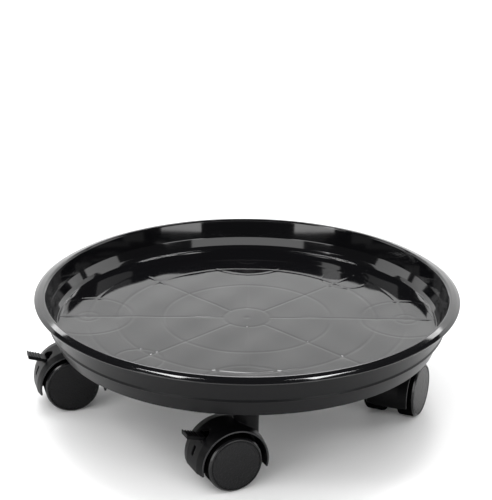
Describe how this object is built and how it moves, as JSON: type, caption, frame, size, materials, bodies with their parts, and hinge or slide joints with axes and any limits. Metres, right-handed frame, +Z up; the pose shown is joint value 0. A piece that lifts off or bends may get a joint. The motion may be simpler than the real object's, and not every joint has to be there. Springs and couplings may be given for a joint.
{
  "type": "plant pot caddy",
  "caption": "Round black plastic plant pot saucer with a rolled rim, on hooded twin-wheel swivel casters, some with a foot brake.",
  "frame": {"origin": "centre of the saucer floor, on the face where the pot stands, 69 mm above the ground", "axes": "+Z up along the saucer's axis; -Y towards the front caster, +X towards the right caster"},
  "size_m": [0.3273, 0.32, 0.092],
  "materials": {
    "saucer_gloss": "high gloss moulded polypropylene, satin on the outside wall",
    "hood_plastic": "fine matt moulded texture",
    "wheel_plastic": "pebbled face with a smooth bevelled edge",
    "bush_plastic": "plain moulded",
    "steel": "bright zinc plated"
  },
  "bodies": {
    "saucer": {"tray": "saucer_gloss", "front_sleeve": "bush_plastic", "front_stem": "steel", "front_grip_ring": "steel", "front_washer": "steel", "left_sleeve": "bush_plastic", "left_stem": "steel", "left_grip_ring": "steel", "left_washer": "steel", "back_sleeve": "bush_plastic", "back_stem": "steel", "back_grip_ring": "steel", "back_washer": "steel", "right_sleeve": "bush_plastic", "right_stem": "steel", "right_grip_ring": "steel", "right_washer": "steel"},
    "front_caster": {"front_hood": "hood_plastic", "front_axle": "steel", "front_brake_pin": "steel"},
    "front_wheel_left": {"front_wheel_left": "wheel_plastic"},
    "front_wheel_right": {"front_wheel_right": "wheel_plastic"},
    "front_brake": {"front_brake_lever": "hood_plastic"},
    "left_caster": {"left_hood": "hood_plastic", "left_axle": "steel", "left_brake_pin": "steel"},
    "left_wheel_left": {"left_wheel_left": "wheel_plastic"},
    "left_wheel_right": {"left_wheel_right": "wheel_plastic"},
    "left_brake": {"left_brake_lever": "hood_plastic"},
    "back_caster": {"back_hood": "hood_plastic", "back_axle": "steel"},
    "back_wheel_left": {"back_wheel_left": "wheel_plastic"},
    "back_wheel_right": {"back_wheel_right": "wheel_plastic"},
    "right_caster": {"right_hood": "hood_plastic", "right_axle": "steel"},
    "right_wheel_left": {"right_wheel_left": "wheel_plastic"},
    "right_wheel_right": {"right_wheel_right": "wheel_plastic"}
  },
  "joints": [
    {"name": "front_swivel", "type": "hinge", "parent": "saucer", "child": "front_caster", "pos_m": [0, -0.1206, -0.014], "axis": [0, 0, 1], "continuous": true},
    {"name": "front_wheel_left_roll", "type": "hinge", "parent": "front_caster", "child": "front_wheel_left", "pos_m": [-0.01486, -0.12753, -0.0485], "axis": [0.4226, -0.9063, 0], "continuous": true},
    {"name": "front_wheel_right_roll", "type": "hinge", "parent": "front_caster", "child": "front_wheel_right", "pos_m": [-0.01486, -0.12753, -0.0485], "axis": [0.4226, -0.9063, 0], "continuous": true},
    {"name": "front_brake_press", "type": "hinge", "parent": "front_caster", "child": "front_brake", "pos_m": [-0.03045, -0.1348, -0.03337], "axis": [0.4226, -0.9063, 0], "range_deg": [0, 20]},
    {"name": "left_swivel", "type": "hinge", "parent": "saucer", "child": "left_caster", "pos_m": [-0.1206, 0, -0.014], "axis": [0, 0, 1], "continuous": true},
    {"name": "left_wheel_left_roll", "type": "hinge", "parent": "left_caster", "child": "left_wheel_left", "pos_m": [-0.13644, -0.00424, -0.0485], "axis": [0.2588, -0.9659, 0], "continuous": true},
    {"name": "left_wheel_right_roll", "type": "hinge", "parent": "left_caster", "child": "left_wheel_right", "pos_m": [-0.13644, -0.00424, -0.0485], "axis": [0.2588, -0.9659, 0], "continuous": true},
    {"name": "left_brake_press", "type": "hinge", "parent": "left_caster", "child": "left_brake", "pos_m": [-0.15306, -0.0087, -0.03337], "axis": [0.2588, -0.9659, 0], "range_deg": [0, 20]},
    {"name": "back_swivel", "type": "hinge", "parent": "saucer", "child": "back_caster", "pos_m": [0, 0.1206, -0.014], "axis": [0, 0, 1], "continuous": true},
    {"name": "back_wheel_left_roll", "type": "hinge", "parent": "back_caster", "child": "back_wheel_left", "pos_m": [0.01541, 0.12621, -0.0485], "axis": [-0.342, 0.9397, 0], "continuous": true},
    {"name": "back_wheel_right_roll", "type": "hinge", "parent": "back_caster", "child": "back_wheel_right", "pos_m": [0.01541, 0.12621, -0.0485], "axis": [-0.342, 0.9397, 0], "continuous": true},
    {"name": "right_swivel", "type": "hinge", "parent": "saucer", "child": "right_caster", "pos_m": [0.1206, 0, -0.014], "axis": [0, 0, 1], "continuous": true},
    {"name": "right_wheel_left_roll", "type": "hinge", "parent": "right_caster", "child": "right_wheel_left", "pos_m": [0.11419, -0.0151, -0.0485], "axis": [0.9205, -0.3907, 0], "continuous": true},
    {"name": "right_wheel_right_roll", "type": "hinge", "parent": "right_caster", "child": "right_wheel_right", "pos_m": [0.11419, -0.0151, -0.0485], "axis": [0.9205, -0.3907, 0], "continuous": true}
  ]
}
